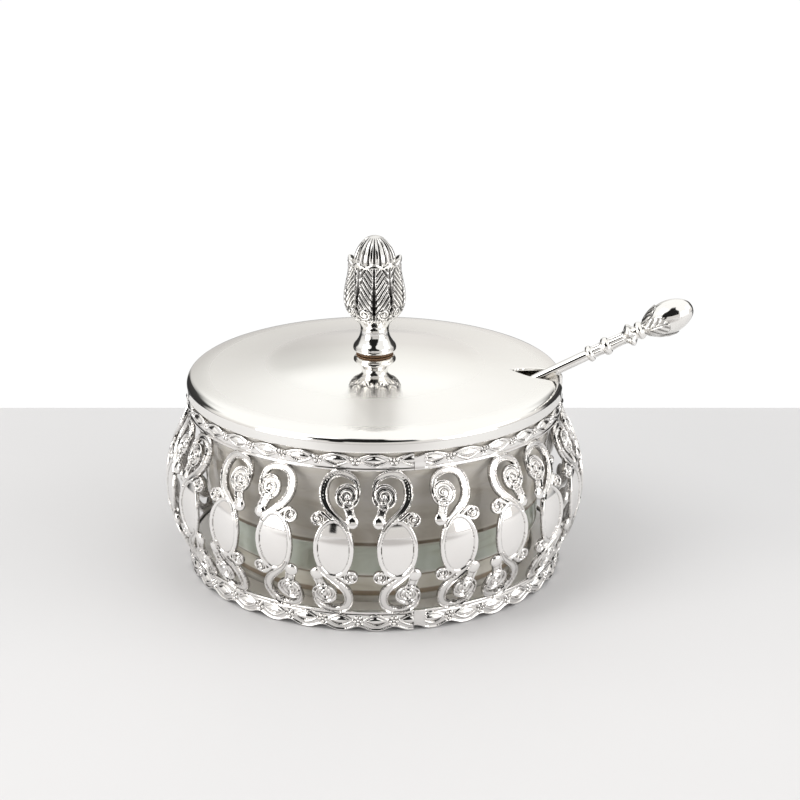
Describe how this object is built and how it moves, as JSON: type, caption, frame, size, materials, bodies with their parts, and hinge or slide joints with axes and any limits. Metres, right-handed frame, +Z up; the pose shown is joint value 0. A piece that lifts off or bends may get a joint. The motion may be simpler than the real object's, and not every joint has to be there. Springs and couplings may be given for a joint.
{
  "type": "sugar bowl",
  "caption": "Covered sugar bowl: openwork silver-plated holder with a lift-out glass liner, a notched domed lid with a leaf finial, and a spoon.",
  "frame": {"origin": "centre of the flat underside of the base plate, on the bowl's axis, on the plane that the bowl stands on", "axes": "+Z up along the bowl's axis, -Y the front that the picture faces, and the spoon leans out towards +X"},
  "size_m": [0.1488, 0.12, 0.0957],
  "materials": {
    "silver_plate": "bright polished silver plate, darkened in the stamped recesses",
    "pressed_glass": "clear pressed glass, faintly grey-green",
    "brown_fibre": "matt brown fibre washer",
    "plain_steel": "plain machined steel"
  },
  "bodies": {
    "holder": {"base_plate": "silver_plate", "gallery_strip_a": "silver_plate", "gallery_strip_b": "silver_plate"},
    "liner": {"glass_liner": "pressed_glass"},
    "lid": {"lid_shell": "silver_plate", "lid_finial": "silver_plate", "finial_seat_washer": "brown_fibre", "finial_lock_washer": "plain_steel", "finial_screw": "plain_steel"},
    "spoon": {"spoon_handle": "silver_plate", "spoon_bowl": "silver_plate"}
  },
  "joints": [
    {"name": "liner_lift", "type": "slide", "parent": "holder", "child": "liner", "axis": [0, 0, 1], "range_m": [0, 0.06]},
    {"name": "lid_lift", "type": "slide", "parent": "liner", "child": "lid", "axis": [0, 0, 1], "range_m": [0, 0.06]},
    {"name": "spoon_draw", "type": "slide", "parent": "liner", "child": "spoon", "axis": [0.8846, -0.0541, 0.4633], "range_m": [0, 0.05]}
  ]
}
